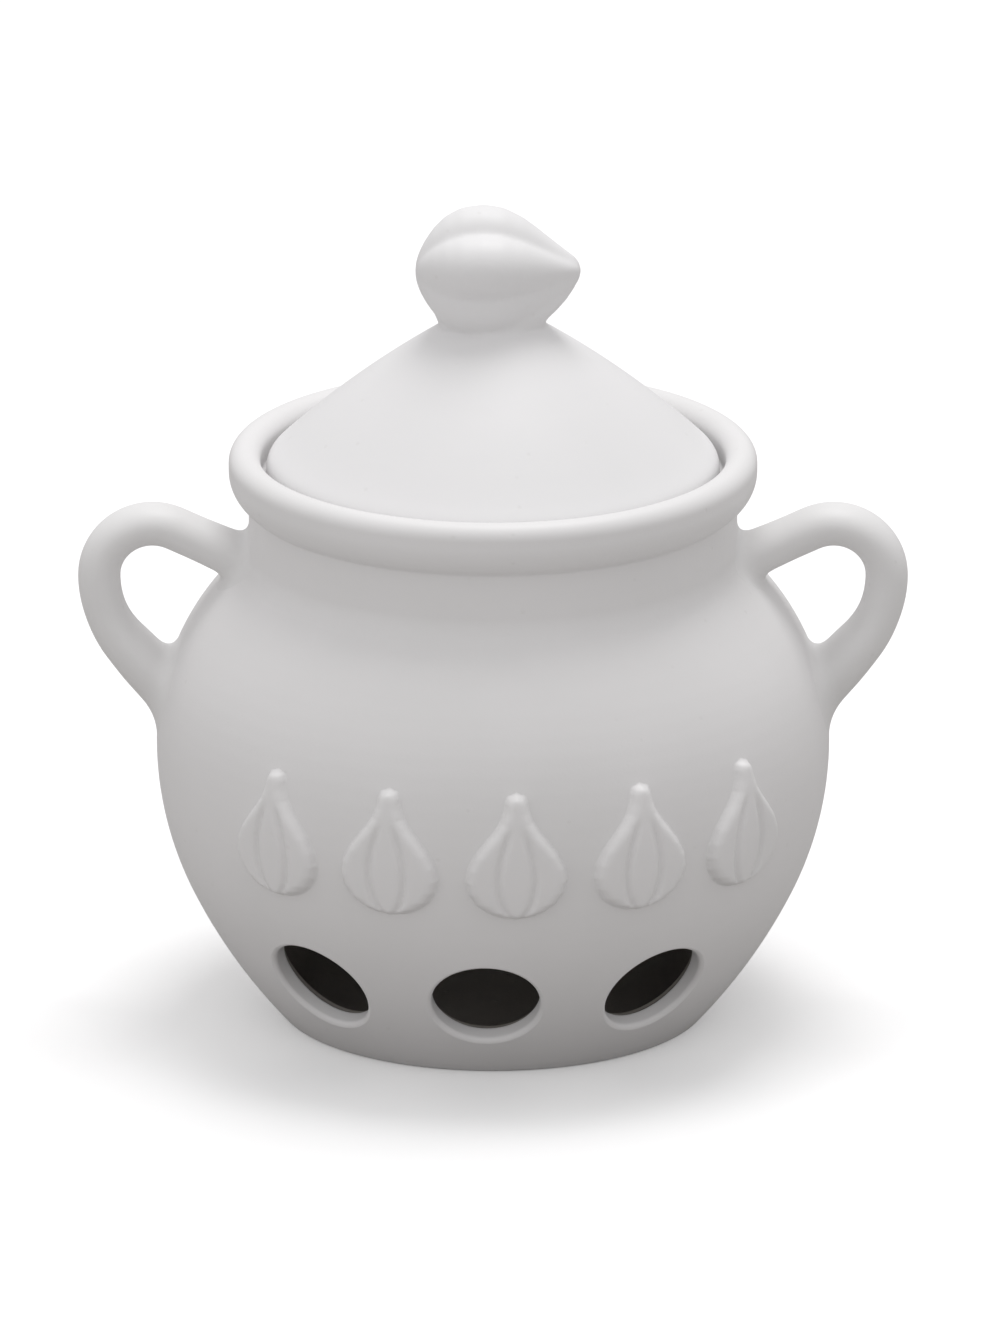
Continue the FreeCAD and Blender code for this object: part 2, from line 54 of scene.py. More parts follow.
def makeCamera():
    tilt = math.radians(view["elevation"])
    back = Vector((0, -math.cos(tilt), math.sin(tilt)))
    up = Vector((0, math.sin(tilt), math.cos(tilt)))
    place = Vector((0, 0, view["lookAt"])) + back * view["distance"]
    place += Vector((view["right"], 0, 0)) + up * view["up"]
    data = bpy.data.cameras.new("camera")
    data.sensor_fit = "VERTICAL"
    data.sensor_height = view["sensor"]
    data.lens = view["lens"]
    data.clip_start = view["near"] * mm
    data.clip_end = view["far"] * mm
    camera = bpy.data.objects.new("camera", data)
    bpy.context.collection.objects.link(camera)
    camera.location = place * mm
    camera.rotation_euler = (math.radians(90) - tilt, 0, 0)
    bpy.context.scene.camera = camera


makeCamera()
print("camera is up")


# Helpers that work on one piece at a time
def deselectAll():
    if bpy.context.object and bpy.context.object.mode != "OBJECT":
        bpy.ops.object.mode_set(mode="OBJECT")
    bpy.ops.object.select_all(action="DESELECT")


def pick(piece):
    deselectAll()
    piece.select_set(True)
    bpy.context.view_layer.objects.active = piece


def applyModifier(piece, kind, **values):
    pick(piece)
    modifier = piece.modifiers.new(kind.lower(), kind)
    for key, value in values.items():
        setattr(modifier, key, value)
    bpy.ops.object.modifier_apply(modifier=modifier.name)


def cleanMesh(piece, gap=0.002):
    pick(piece)
    bpy.ops.object.mode_set(mode="EDIT")
    bpy.ops.mesh.select_all(action="SELECT")
    bpy.ops.mesh.remove_doubles(threshold=gap * mm)
    bpy.ops.mesh.normals_make_consistent(inside=False)
    bpy.ops.object.mode_set(mode="OBJECT")


def spinProfile(name, profile, steps):
    deselectAll()
    bpy.ops.mesh.primitive_plane_add(size=mm)
    piece = bpy.context.object
    piece.name = name
    bpy.ops.object.mode_set(mode="EDIT")
    bpy.ops.mesh.select_all(action="SELECT")
    bpy.ops.mesh.merge(type="CENTER")
    spot = Vector((0, 0, 0))
    for number, (out, up) in enumerate(profile):
        step = (Vector((out, 0, up)) - spot) * mm
        spot = Vector((out, 0, up))
        if number == 0:
            bpy.ops.transform.translate(value=step)
        else:
            bpy.ops.mesh.extrude_region_move(TRANSFORM_OT_translate={"value": step})
    bpy.ops.mesh.select_all(action="SELECT")
    bpy.ops.mesh.spin(steps=steps, angle=2 * math.pi, center=(0, 0, 0), axis=(0, 0, 1))
    bpy.ops.object.mode_set(mode="OBJECT")
    cleanMesh(piece)
    return piece


def rollGrid(name, around, along, place, closedEnds=True):
    deselectAll()
    bpy.ops.mesh.primitive_grid_add(x_subdivisions=around, y_subdivisions=along, size=1)
    piece = bpy.context.object
    piece.name = name
    for vertex in piece.data.vertices:
        vertex.co = Vector(place(vertex.co.x + 0.5, vertex.co.y + 0.5)) * mm
    cleanMesh(piece)
    if closedEnds:
        bpy.ops.object.mode_set(mode="EDIT")
        bpy.ops.mesh.select_all(action="DESELECT")
        bpy.ops.mesh.select_non_manifold()
        bpy.ops.mesh.edge_face_add()
        bpy.ops.mesh.select_all(action="SELECT")
        bpy.ops.mesh.normals_make_consistent(inside=False)
        bpy.ops.object.mode_set(mode="OBJECT")
    return piece


def smoothStep(value):
    value = min(max(value, 0.0), 1.0)
    return value * value * (3 - 2 * value)


def arcPoints(centre, radius, start, end, steps):
    points = []
    for step in range(steps + 1):
        angle = math.radians(start + (end - start) * step / steps)
        points.append((centre[0] + radius * math.cos(angle), centre[1] + radius * math.sin(angle)))
    return points


def angleOf(centre, point):
    return math.degrees(math.atan2(point[1] - centre[1], point[0] - centre[0]))


# Pot: a thrown shell, its outline drawn with arcs that run into each other
pot = {
    "belly": 62.5, "bellyHeight": 52.0,       # the widest place
    "flank": 105.0, "foot": 39.5,             # arc below the belly, and where it would meet the floor
    "footEdge": 1.5, "footRing": 5.0,         # rounding and width of the ring it stands on
    "footRecess": 1.2, "recessRun": 1.0, "recessRound": 0.6,
    "shoulder": 44.5,                         # arc above the belly
    "neck": 45.3, "neckBlend": 6.0, "neckRows": (3.0, 2.0),
    "rim": 49.0, "rimTop": 108.85, "rimUnder": 6.5, "rimBand": 1.5,
    "creaseRound": 0.5, "creasePoint": (0.12, 0.1),  # its middle, in shares of the rounding
    "mouth": 43.1, "seat": 103.0,             # the lid's bed
    "throat": 39.5, "throatDepth": 7.0, "ledgeEdge": 0.5,
    "wall": 4.0, "floor": 5.7, "innerCorner": 8.0,
    "steps": 224,
}


def potCentres():
    belly, height = pot["belly"], pot["bellyHeight"]
    far = math.hypot(pot["foot"], height)
    more = pot["flank"] - belly
    along = (more ** 2 - pot["flank"] ** 2 + far ** 2) / (2 * far)
    aside = math.sqrt(more ** 2 - along ** 2)
    flank = (
        (along * pot["foot"] - aside * height) / far,
        height - (along * height + aside * pot["foot"]) / far,
    )
    shoulder = (belly - pot["shoulder"], height)
    out = pot["neck"] + pot["neckBlend"]
    reach = pot["shoulder"] + pot["neckBlend"]
    blend = (out, height + math.sqrt(reach ** 2 - (out - shoulder[0]) ** 2))
    return flank, (0.0, height), shoulder, blend


flankAt, bellyAt, shoulderAt, blendAt = potCentres()
lowAngle = angleOf(flankAt, bellyAt)
neckAngle = angleOf(shoulderAt, blendAt)


def onCircle(centre, radius, height):
    return centre[0] + math.sqrt(max(radius ** 2 - (height - centre[1]) ** 2, 0.0))


def outside(height):
    lowHeight = bellyAt[1] + pot["belly"] * math.sin(math.radians(lowAngle))
    neckLow = shoulderAt[1] + pot["shoulder"] * math.sin(math.radians(neckAngle))
    if height < lowHeight:
        return onCircle(flankAt, pot["flank"], height)
    if height < bellyAt[1]:
        return onCircle(bellyAt, pot["belly"], height)
    if height < neckLow:
        return onCircle(shoulderAt, pot["shoulder"], height)
    if height < blendAt[1]:
        return blendAt[0] - math.sqrt(pot["neckBlend"] ** 2 - (height - blendAt[1]) ** 2)
    return pot["neck"]


def footCorner(radius, edge, base):
    centre = (onCircle(flankAt, radius - edge, base + edge), base + edge)
    return centre, angleOf(flankAt, centre)


def potProfile():
    roundTop = (pot["rim"] - pot["mouth"]) / 2
    rimSide = pot["rimTop"] - roundTop
    under = (pot["rim"] - pot["rimUnder"], rimSide - pot["rimBand"])
    crease = under[1] - math.sqrt(pot["rimUnder"] ** 2 - (pot["neck"] - under[0]) ** 2)
    edgeAt, edgeAngle = footCorner(pot["flank"], pot["footEdge"], 0.0)
    wall = pot["wall"]
    cornerAt, cornerAngle = footCorner(pot["flank"] - wall, pot["innerCorner"], pot["floor"])
    recess = edgeAt[0] - pot["footRing"]
    lifted, soft = pot["footRecess"], pot["recessRound"]
    points = [(0.0, lifted), (recess * 0.5, lifted)]
    points += arcPoints((recess - pot["recessRun"], lifted - soft), soft, 90, 30, 3)
    points += arcPoints((recess + lifted + soft, soft), soft, 210, 270, 4)
    points += arcPoints(edgeAt, pot["footEdge"], -90, edgeAngle, 6)
    points += arcPoints(flankAt, pot["flank"], edgeAngle, lowAngle, 14)[1:]
    points += arcPoints(bellyAt, pot["belly"], lowAngle, 0, 16)[1:]
    points += arcPoints(shoulderAt, pot["shoulder"], 0, neckAngle, 22)[1:]
    points += arcPoints(blendAt, pot["neckBlend"], neckAngle + 180, 180, 8)[1:]
    neck, crisp = pot["neck"], pot["creaseRound"]
    points += [(neck, blendAt[1] + pot["neckRows"][0]), (neck, crease - pot["neckRows"][1])]
    points += [(neck, crease - crisp)]
    creaseAngle = angleOf(under, (neck, crease)) + math.degrees(crisp / pot["rimUnder"])
    points += [(neck + pot["creasePoint"][0] * crisp, crease - pot["creasePoint"][1] * crisp)]
    points += arcPoints(under, pot["rimUnder"], creaseAngle, 0, 12)
    points += arcPoints((pot["rim"] - roundTop, rimSide), roundTop, 0, 180, 20)
    seat, throat, ledge = pot["seat"], pot["throat"], pot["ledgeEdge"]
    points += [(pot["mouth"], seat + ledge), (pot["mouth"] - ledge, seat)]
    points += [(throat + ledge, seat), (throat, seat - ledge)]
    throatLow = seat - pot["throatDepth"]
    neckIn = neck - wall
    points += [(throat, throatLow), (neckIn, throatLow - neckIn + throat)]
    points += arcPoints(blendAt, pot["neckBlend"] + wall, 180, neckAngle + 180, 6)
    points += arcPoints(shoulderAt, pot["shoulder"] - wall, neckAngle, 0, 20)[1:]
    points += arcPoints(bellyAt, pot["belly"] - wall, 0, lowAngle, 16)[1:]
    points += arcPoints(flankAt, pot["flank"] - wall, lowAngle, cornerAngle, 12)[1:]
    points += arcPoints(cornerAt, pot["innerCorner"], cornerAngle, -90, 10)[1:]
    points += [(cornerAt[0] * 0.5, pot["floor"]), (0.0, pot["floor"])]
    return points


# Air holes, front and back: bores that run out and down from the middle of the belly
vents = {
    "radius": 10.0, "drop": 34.3, "spacing": 37.0, "turn": -1.5,
    "perSide": (-1, 0, 1),
    "edge": 1.1,              # how softly the sponge rounded their outer edge
    "innerEdge": 0.5,
    "edgeTurns": (0, 16, 32, 48, 64, 78), "innerTurns": (30, 60, 90),
    "past": 1.5, "pastIn": 2.0,  # how far each bore runs on beyond the two walls
    "flare": 1.2, "flareIn": 0.6, "innerSink": 0.02,
    "around": 72,
}


def ventFrame(turn):
    drop = math.radians(vents["drop"])
    turn = math.radians(turn)
    axis = Vector((math.sin(turn) * math.cos(drop), -math.cos(turn) * math.cos(drop), -math.sin(drop)))
    aside = Vector((math.cos(turn), math.sin(turn), 0))
    return axis, aside, axis.cross(aside)


def surfaceAlong(start, axis, inset):
    near, far = 20.0, 90.0
    for _ in range(40):
        middle = (near + far) / 2
        spot = start + axis * middle
        if math.hypot(spot.x, spot.y) < outside(spot.z) - inset:
            near = middle
        else:
            far = middle
    return near


def cutVent(piece, turn, number):
    axis, aside, upward = ventFrame(turn)
    centre = Vector((0, 0, pot["bellyHeight"]))
    bore, wall = vents["radius"], pot["wall"]
    edge, inner = vents["edge"], vents["innerEdge"]
    rings = [(bore + inner + vents["flareIn"], wall, vents["pastIn"])]
    rings += [(bore + inner, wall, -vents["innerSink"])]
    for degrees in vents["innerTurns"]:
        angle = math.radians(degrees)
        rings.append((bore + inner * (1 - math.sin(angle)), wall, -inner * (1 - math.cos(angle))))
    for degrees in vents["edgeTurns"]:
        angle = math.radians(degrees)
        rings.append((bore + edge * (1 - math.cos(angle)), 0.0, edge * (1 - math.sin(angle))))
    rings.append((bore + edge * vents["flare"], 0.0, -vents["past"]))

    def place(around, along):
        radius, inset, depth = rings[round(along * (len(rings) - 1))]
        angle = 2 * math.pi * around
        start = centre + (aside * math.cos(angle) + upward * math.sin(angle)) * radius
        return start + axis * (surfaceAlong(start, axis, inset) - depth)

    cutter = rollGrid(f"ventCutter{number}", vents["around"], len(rings) - 1, place)
    applyModifier(piece, "BOOLEAN", operation="DIFFERENCE", solver="EXACT", object=cutter)
    bpy.data.objects.remove(cutter)


def makePot():
    piece = spinProfile("potShell", potProfile(), pot["steps"])
    number = 0
    for side in (0, 180):
        for place in vents["perSide"]:
            number += 1
            cutVent(piece, vents["turn"] + place * vents["spacing"] + side, number)
    pick(piece)
    bpy.ops.object.shade_smooth_by_angle(angle=math.radians(50))
    applyModifier(piece, "WEIGHTED_NORMAL", keep_sharp=True, weight=80)
    return piece


potShell = makePot()
print("pot is thrown, vertices:", len(potShell.data.vertices))


# Handles: an oval pulled round the loop, with slip drawn out over the pot at both roots
handle = {
    "wide": 10.6, "thick": 7.9,
    "start": (43.3, 85.69), "rise": 24.8, "reach": 17.3,
    "bend": 9.9, "bendTurn": 115.0, "bow": 20.2, "bowTurn": 40.5,
    "tail": 16.0,
    "upperSlip": 3.4, "lowerSlip": 4.6,       # how far the slip is drawn out
    "upperSpread": 0.10, "lowerSpread": 0.22,  # swelling of the clay towards each root
    "upperRun": 14.0, "lowerRun": 16.0, "lowerFull": 9.0,
    "middle": 12.0,           # this far past the reach, the loop is well clear of the pot
    "slipSink": 0.03, "rootSink": 1.2,        # the slip's edge and the hidden root, into the pot
    "around": 48, "slipRows": 9, "loopRows": 60,
}


def handlePath(distance):
    x, z = handle["start"]
    heading = math.radians(handle["rise"])
    runs = [
        (handle["reach"], 0.0),
        (math.radians(handle["bendTurn"]) * handle["bend"], 1 / handle["bend"]),
        (math.radians(handle["bowTurn"]) * handle["bow"], 1 / handle["bow"]),
        (handle["tail"], 0.0),
    ]
    for length, bending in runs:
        step = min(distance, length)
        if bending:
            turned = heading - step * bending
            x += (math.sin(heading) - math.sin(turned)) / bending
            z -= (math.cos(heading) - math.cos(turned)) / bending
            heading = turned
        else:
            x += step * math.cos(heading)
            z += step * math.sin(heading)
        distance -= step
        if distance <= 0:
            break
    return Vector((x, 0, z)), heading


pathLength = (
    handle["reach"] + handle["tail"]
    + math.radians(handle["bendTurn"]) * handle["bend"]
    + math.radians(handle["bowTurn"]) * handle["bow"]
)


def handleWall(distance, angle):
    centre, heading = handlePath(distance)
    normal = Vector((-math.sin(heading), 0, math.cos(heading)))
    left = pathLength - distance - handle["lowerFull"]
    swell = 1 + handle["upperSpread"] * smoothStep(1 - distance / handle["upperRun"])
    swell += handle["lowerSpread"] * smoothStep(1 - left / handle["lowerRun"])
    out = normal * math.sin(angle) * handle["thick"] / 2
    out += Vector((0, 1, 0)) * math.cos(angle) * handle["wide"] / 2
    return centre + out * swell


def meetPot(angle, near, far):
    for _ in range(40):
        middle = (near + far) / 2
        spot = handleWall(middle, angle)
        if math.hypot(spot.x, spot.y) > outside(spot.z):
            near = middle
        else:
            far = middle
    return near


def ontoPot(spot, lift):
    turn = math.atan2(spot.y, spot.x)
    out = outside(spot.z) + lift
    return Vector((out * math.cos(turn), out * math.sin(turn), spot.z))


def makeHandle(name, side):
    around, slipRows, loopRows = handle["around"], handle["slipRows"], handle["loopRows"]
    middle = handle["reach"] + handle["middle"]
    feet = []
    for number in range(around + 1):
        angle = 2 * math.pi * (number % around) / around
        feet.append((meetPot(angle, middle, 0.0), meetPot(angle, middle, pathLength)))
    centres = []
    for end in (0, 1):
        spots = []
        for number, foot in enumerate(feet[:-1]):
            spots.append(handleWall(foot[end], 2 * math.pi * number / around))
        centres.append(sum(spots, Vector()) / len(spots))

    def slipPoint(number, end, share):
        angle = 2 * math.pi * number / around
        slip = handle["upperSlip"] if end == 0 else handle["lowerSlip"]
        foot = feet[number][end]
        back = foot + slip * (1 if end == 0 else -1)
        wallSpot = handleWall(back, angle)
        footSpot = handleWall(foot, angle)
        outward = footSpot - centres[end]
        spread = ontoPot(footSpot + outward.normalized() * slip, -handle["slipSink"])
        first = wallSpot.lerp(footSpot, share)
        second = footSpot.lerp(spread, share)
        return first.lerp(second, share), back

    total = 2 * slipRows + loopRows + 2

    def place(u, v):
        number = round(u * around) % around
        row = round(v * total)
        angle = 2 * math.pi * number / around
        if row == 0 or row == total:
            end = 0 if row == 0 else 1
            spot, _ = slipPoint(number, end, 1.0)
            spot = ontoPot(spot, -handle["rootSink"])
        elif row <= slipRows + 1:
            spot, _ = slipPoint(number, 0, 1 - (row - 1) / slipRows)
        elif row >= total - 1 - slipRows:
            spot, _ = slipPoint(number, 1, 1 - (total - 1 - row) / slipRows)
        else:
            first = slipPoint(number, 0, 0.0)[1]
            last = slipPoint(number, 1, 0.0)[1]
            share = (row - slipRows - 1) / loopRows
            spot = handleWall(first + (last - first) * share, angle)
        return (spot.x * side, spot.y, spot.z)

    piece = rollGrid(name, around, total, place)
    applyModifier(piece, "SUBSURF", levels=1, render_levels=1)
    pick(piece)
    bpy.ops.object.shade_smooth()
    return piece


leftHandle = makeHandle("leftHandle", -1)
rightHandle = makeHandle("rightHandle", 1)
print("handles are luted on")


# Raised bulbs on the front, softened by the glaze
relief = {
    "count": 5, "turn": 4.0, "spacing": 22.0, "middle": 49.5,
    "wide": 18.5, "tall": 24.0, "height": 1.75,
    "margin": 1.6, "cells": (76, 96), "thick": 0.9,
    "edge": 1.9,              # the relief rounds down to the belly over this width
    "slopeStep": 0.25,
    "crease": 0.75, "creaseWide": 0.62, "cloveShare": 0.36,
    "creaseTop": 7.0, "creaseFade": 5.0,      # the creases run out towards the stalk
    "proud": 0.2,             # the whole figure stands this much higher
    "sink": 0.22, "sinkRun": 0.25,            # outside its outline it drops below the belly
    "skirt": 0.16, "skirtRun": 0.10, "skirtSink": 0.05,  # and its rim goes a little deeper
    "outline": [              # height above the middle, half width
        (-12.3, 0.0), (-12.0, 2.6), (-11.0, 5.2), (-9.4, 7.3), (-7.2, 8.7),
        (-4.8, 9.25), (-2.2, 8.8), (0.4, 7.5), (2.8, 5.7), (4.8, 4.1),
        (6.8, 2.8), (8.8, 2.1), (10.6, 1.8), (11.4, 1.4), (11.9, 0.0),
    ],
}


def bulbWidth(z):
    outline = relief["outline"]
    for (z0, w0), (z1, w1) in zip(outline, outline[1:]):
        if z0 <= z <= z1:
            return w0 + (w1 - w0) * (z - z0) / (z1 - z0)
    return -min(abs(z - outline[0][0]), abs(z - outline[-1][0]))


def bulbHeight(x, z):
    wide = bulbWidth(z)
    step = relief["slopeStep"]
    slope = (bulbWidth(z + step) - bulbWidth(z - step)) / (2 * step)
    inside = (wide - abs(x)) / math.sqrt(1 + slope * slope)
    if inside <= 0:
        return relief["sink"] * math.exp(inside / relief["sinkRun"]) - relief["sink"]
    edge = max(1 - inside / relief["edge"], 0.0)
    height = relief["height"] * math.sqrt(1 - edge * edge)
    fade = smoothStep((relief["creaseTop"] - z) / relief["creaseFade"])
    for clove in (-1, 1):
        off = (x - clove * relief["cloveShare"] * wide) / relief["creaseWide"]
        height -= relief["crease"] * fade * min(inside / relief["edge"], 1.0) * math.exp(-off * off)
    return height


def makeBulb(number):
    turn = relief["turn"] + (number - (relief["count"] - 1) / 2) * relief["spacing"]
    halfWide = relief["wide"] / 2 + relief["margin"]
    halfTall = relief["tall"] / 2 + relief["margin"]

    def place(u, v):
        x = (2 * u - 1) * halfWide
        z = (2 * v - 1) * halfTall
        lift = bulbHeight(x, z) + relief["proud"]
        edge = min(1 - abs(2 * u - 1), 1 - abs(2 * v - 1))
        lift -= relief["skirt"] * smoothStep(1 - edge / relief["skirtRun"]) + relief["skirtSink"]
        height = relief["middle"] + z
        angle = math.radians(turn - 90) + x / pot["belly"]
        out = outside(height) + lift
        return (out * math.cos(angle), out * math.sin(angle), height)

    cellsAcross, cellsUp = relief["cells"]
    piece = rollGrid(f"raisedBulb{number + 1}", cellsAcross, cellsUp, place, closedEnds=False)
    applyModifier(piece, "SMOOTH", factor=0.5, iterations=1)
    applyModifier(piece, "SOLIDIFY", thickness=relief["thick"] * mm, offset=-1.0)
    pick(piece)
    bpy.ops.object.shade_smooth()
    return piece


bulbs = [makeBulb(number) for number in range(relief["count"])]
print("raised bulbs:", len(bulbs))


# Lid with its knob
lid = {
    "radius": 42.1, "seat": 103.0, "edge": 1.8, "edgeRound": 4.0, "edgeSlope": 44.0,
    "dome": 200.0, "top": 6.0,                # radius of the dome's arc, and of its closed crown
    "wall": 4.0, "hollow": 10.0,
    "ring": 38.7, "ringWall": 3.5, "ringDepth": 6.0,  # the ring underneath, inside the throat
    "ringEdge": 0.6, "lowEdge": 0.5,
    "steps": 192, "voxel": 0.6,
}
knob = {
    "height": 143.0, "turn": 22.0, "cloves": 5,
    "lobe": 0.5,              # radius of one clove, as a share of the whole
    "around": 150, "neckAround": 96,
    "finer": 4,               # mesh rows between two of the rows below
    "outline": [              # along the axis, radius
        (-14.4, 0.0), (-14.25, 1.8), (-13.6, 3.8), (-12.5, 5.9), (-11.0, 8.1), (-8.8, 10.3),
        (-5.8, 11.9), (-1.7, 12.5), (2.0, 11.9), (5.6, 10.1), (8.4, 8.0), (11.0, 5.9),
        (13.2, 4.2), (15.0, 2.9), (16.0, 1.7), (16.3, 0.0),
    ],
    "neck": [                 # height, left end, right end, half width front to back
        (128.5, -10.0, 9.7, 8.0), (132.6, -10.0, 9.7, 8.0), (133.8, -10.4, 9.9, 8.1),
        (135.8, -11.3, 12.0, 7.8), (137.7, -12.1, 13.7, 6.7), (139.6, -12.3, 15.0, 4.6),
        (141.3, -12.0, 15.8, 2.4),
    ],
}


def lidProfile():
    slope = math.radians(lid["edgeSlope"])
    edgeAt = (lid["radius"] - lid["edgeRound"], lid["seat"] + lid["edge"])
    low = (edgeAt[0] + lid["edgeRound"] * math.sin(slope), edgeAt[1] + lid["edgeRound"] * math.cos(slope))
    domeAt = (low[0] - lid["dome"] * math.sin(slope), low[1] - lid["dome"] * math.cos(slope))
    inner = lid["dome"] - lid["wall"]
    ringIn = lid["ring"] - lid["ringWall"]
    ringLow = lid["seat"] - lid["ringDepth"]
    startAngle = math.degrees(math.acos((ringIn - domeAt[0]) / inner))
    endAngle = math.degrees(math.acos((lid["hollow"] - domeAt[0]) / inner))
    hollowTop = domeAt[1] + inner * math.sin(math.radians(endAngle))
    capAt = (0.0, domeAt[1] - (hollowTop - domeAt[1]) * domeAt[0] / (lid["hollow"] - domeAt[0]))
    cap = math.hypot(lid["hollow"], hollowTop - capAt[1])
    ring, soft, seat = lid["ring"], lid["ringEdge"], lid["seat"]
    points = [(ringIn, ringLow + soft), (ringIn + soft, ringLow), (ring - soft, ringLow)]
    points += [(ring, ringLow + soft), (ring, seat), (lid["radius"] - lid["lowEdge"], seat)]
    points += [(lid["radius"], seat + lid["lowEdge"])]
    points += arcPoints(edgeAt, lid["edgeRound"], 0, 90 - lid["edgeSlope"], 8)
    topAngle = math.degrees(math.acos((lid["top"] - domeAt[0]) / lid["dome"]))
    points += arcPoints(domeAt, lid["dome"], 90 - lid["edgeSlope"], topAngle, 40)[1:]
    points += [(0.0, domeAt[1] + lid["dome"] * math.sin(math.radians(topAngle)))]
    points += [(0.0, capAt[1] + cap)]
    points += arcPoints(capAt, cap, 90, endAngle, 6)[1:]
    points += arcPoints(domeAt, inner, endAngle, startAngle, 24)[1:]
    points += [(ringIn, ringLow + soft)]
    return points


def outlineRadius(share):
    outline = knob["outline"]
    place = share * (len(outline) - 1)
    first = min(int(place), len(outline) - 2)
    part = place - first
    (x0, r0), (x1, r1) = outline[first], outline[first + 1]
    return x0 + (x1 - x0) * part, r0 + (r1 - r0) * part


def makeKnob():
    height, lobe = knob["height"], knob["lobe"]
    step = 360 / knob["cloves"]
    off = 1 - lobe

    def place(u, v):
        x, radius = outlineRadius(v)
        angle = 2 * math.pi * u
        beta = (math.degrees(angle) - knob["turn"] + step / 2) % step - step / 2
        aside = off * math.sin(math.radians(beta))
        share = off * math.cos(math.radians(beta)) + math.sqrt(lobe ** 2 - aside ** 2)
        radius *= share
        return (x, -radius * math.cos(angle), height + radius * math.sin(angle))

    along = (len(knob["outline"]) - 1) * knob["finer"]
    return rollGrid("knobShape", knob["around"], along, place, closedEnds=False)


def makeNeck():
    rows = knob["neck"]

    def place(u, v):
        row = v * (len(rows) - 1)
        first = min(int(row), len(rows) - 2)
        share = row - first
        up, left, right, halfY = [a + (b - a) * share for a, b in zip(rows[first], rows[first + 1])]
        angle = 2 * math.pi * u
        return ((left + right) / 2 + (right - left) / 2 * math.cos(angle), halfY * math.sin(angle), up)

    return rollGrid("knobNeck", knob["neckAround"], (len(rows) - 1) * knob["finer"], place)


def makeLid():
    piece = spinProfile("lidWithKnob", lidProfile(), lid["steps"])
    bulb = makeKnob()
    applyModifier(bulb, "SMOOTH", factor=0.5, iterations=2)
    neck = makeNeck()
    deselectAll()
    bulb.select_set(True)
    neck.select_set(True)
    piece.select_set(True)
    bpy.context.view_layer.objects.active = piece
    bpy.ops.object.join()
    applyModifier(piece, "REMESH", mode="VOXEL", voxel_size=lid["voxel"] * mm, adaptivity=0.0)
    applyModifier(piece, "SMOOTH", factor=0.5, iterations=4)
    pick(piece)
    bpy.ops.object.shade_smooth()
    return piece


lidPiece = makeLid()
print("lid is made, vertices:", len(lidPiece.data.vertices))


# Materials
def newMaterial(name):
    material = bpy.data.materials.new(name)
    material.use_nodes = True
    return material, material.node_tree.nodes, material.node_tree.links


def addNode(tree, kind, **values):
    made = tree.nodes.new(kind)
    for key, value in values.items():
        if hasattr(made, key):
            setattr(made, key, value)
        else:
            made.inputs[key.replace("_", " ")].default_value = value
    return made


def newGroup(name, takes, gives):
    group = bpy.data.node_groups.new(name, "ShaderNodeTree")
    for label, kind, value in takes:
        socket = group.interface.new_socket(name=label, in_out="INPUT", socket_type=kind)
        if value is not None:
            socket.default_value = value
    for label, kind in gives:
        group.interface.new_socket(name=label, in_out="OUTPUT", socket_type=kind)
    return group, group.nodes.new("NodeGroupInput"), group.nodes.new("NodeGroupOutput")


def makeGlazeTone():
    group, given, result = newGroup(
        "glazeTone",
        [
            ("Place", "NodeSocketVector", None), ("Colour", "NodeSocketColor", (0.8, 0.8, 0.8, 1)),
            ("Pooled", "NodeSocketColor", (0.75, 0.76, 0.74, 1)), ("Size", "NodeSocketFloat", 30.0),
            ("Amount", "NodeSocketFloat", 0.5), ("Roughness", "NodeSocketFloat", 0.45),
        ],
        [("Colour", "NodeSocketColor"), ("Roughness", "NodeSocketFloat")],
    )
    links = group.links
    cloud = addNode(group, "ShaderNodeTexNoise", Detail=5.0, Roughness=0.55)
    spread = addNode(group, "ShaderNodeMapRange", From_Min=0.35, From_Max=0.7)
    share = addNode(group, "ShaderNodeMath", operation="MULTIPLY")
    mix = addNode(group, "ShaderNodeMix", data_type="RGBA")
    rough = addNode(group, "ShaderNodeMath", operation="MULTIPLY_ADD")
    rough.inputs[1].default_value = 0.12  # pooled glaze is this much rougher
    links.new(given.outputs["Place"], cloud.inputs["Vector"])
    links.new(given.outputs["Size"], cloud.inputs["Scale"])
    links.new(cloud.outputs["Fac"], spread.inputs["Value"])
    links.new(spread.outputs["Result"], share.inputs[0])
    links.new(given.outputs["Amount"], share.inputs[1])
    links.new(share.outputs["Value"], mix.inputs["Factor"])
    links.new(given.outputs["Colour"], mix.inputs["A"])
    links.new(given.outputs["Pooled"], mix.inputs["B"])
    links.new(share.outputs["Value"], rough.inputs[0])
    links.new(given.outputs["Roughness"], rough.inputs[2])
    links.new(mix.outputs["Result"], result.inputs["Colour"])
    links.new(rough.outputs["Value"], result.inputs["Roughness"])
    return group


